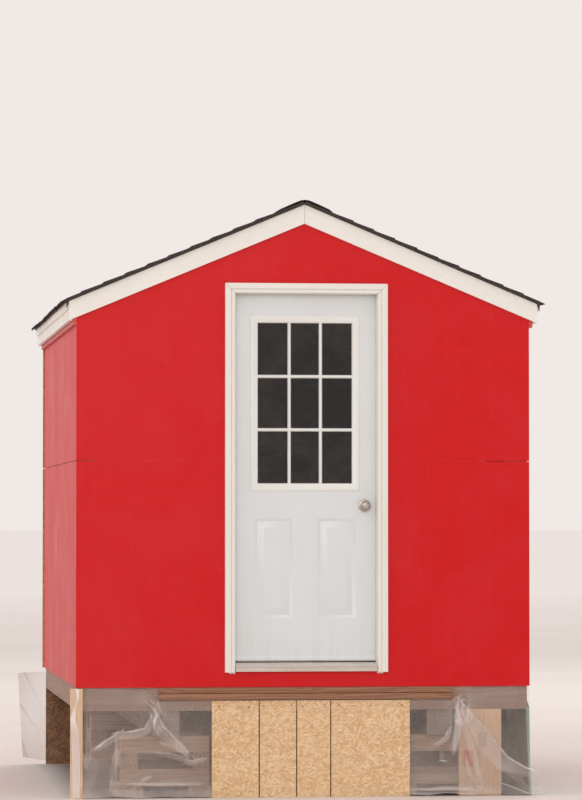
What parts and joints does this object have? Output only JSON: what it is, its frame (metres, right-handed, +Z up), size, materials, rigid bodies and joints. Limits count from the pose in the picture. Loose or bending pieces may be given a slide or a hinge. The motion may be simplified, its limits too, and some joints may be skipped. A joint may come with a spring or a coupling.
{
  "type": "ice fishing hut",
  "caption": "Gable-roofed plywood cabin on timber cribbing, with an in-swinging half-glazed door that opens, and board and plastic skirts.",
  "frame": {"origin": "on the ice, under the middle of the hut", "axes": "+X to the right as seen from outside the door, +Y from the front wall to the back wall, +Z up"},
  "size_m": [2.626, 3.14, 3.2283],
  "materials": {
    "weathered_timber": "rough, grey, weathered",
    "pine_lumber": "sawn softwood",
    "sheathing_board": "oriented strand board",
    "asphalt_shingle": "mineral granules on asphalt felt",
    "cream_paint": "painted, satin",
    "red_paint": "painted plywood, semi-gloss",
    "dark_board": "stained, rough",
    "clear_film": "translucent polyethylene film",
    "white_enamel": "semi-gloss enamel",
    "white_plastic": "moulded plastic",
    "window_glass": "clear insulated glass",
    "satin_nickel": "satin nickel plate"
  },
  "bodies": {
    "hut": {"ground_pads": "weathered_timber", "crib_cross_blocks": "pine_lumber", "crib_long_blocks": "weathered_timber", "skids": "weathered_timber", "sill_planks": "pine_lumber", "floor_frame": "pine_lumber", "floor_deck": "sheathing_board", "wall_plates": "pine_lumber", "left_wall_studs": "pine_lumber", "right_wall_studs": "pine_lumber", "back_wall_studs": "pine_lumber", "front_wall_studs": "pine_lumber", "door_header": "pine_lumber", "ridge_board": "pine_lumber", "left_rafters": "pine_lumber", "right_rafters": "pine_lumber", "left_roof_deck": "sheathing_board", "right_roof_deck": "sheathing_board", "left_shingles": "asphalt_shingle", "right_shingles": "asphalt_shingle", "ridge_cap": "asphalt_shingle", "rake_boards": "cream_paint", "fascia_boards": "cream_paint", "frieze_boards": "red_paint", "left_siding": "red_paint", "right_siding": "red_paint", "back_siding": "red_paint", "front_siding_left": "red_paint", "front_siding_right": "red_paint", "front_siding_over_door": "red_paint", "front_siding_under_door": "red_paint", "door_casing": "cream_paint", "door_jamb": "cream_paint", "threshold": "cream_paint", "jamb_hinges": "satin_nickel", "skirt_cleats": "dark_board", "skirt_posts": "pine_lumber", "board_skirts": "sheathing_board", "back_skirt": "dark_board", "plastic_front_left": "clear_film", "plastic_front_right": "clear_film", "plastic_right": "clear_film", "plastic_back": "clear_film"},
    "door": {"door_leaf": "white_enamel", "door_glass": "window_glass", "glazing_frames": "white_plastic", "door_sweep": "white_plastic", "door_hinges": "satin_nickel", "rosettes": "satin_nickel"},
    "knob": {"knob": "satin_nickel"}
  },
  "joints": [
    {"name": "door_hinge", "type": "hinge", "parent": "hut", "child": "door", "pos_m": [-0.3865, -1.4285, 1.7], "axis": [0, 0, 1], "range_deg": [0, 120]},
    {"name": "knob_turn", "type": "hinge", "parent": "door", "child": "knob", "pos_m": [0.336, -1.5, 1.57], "axis": [0, 1, 0], "range_deg": [-45, 45], "stiffness_Nm_per_rad": 0.3}
  ]
}
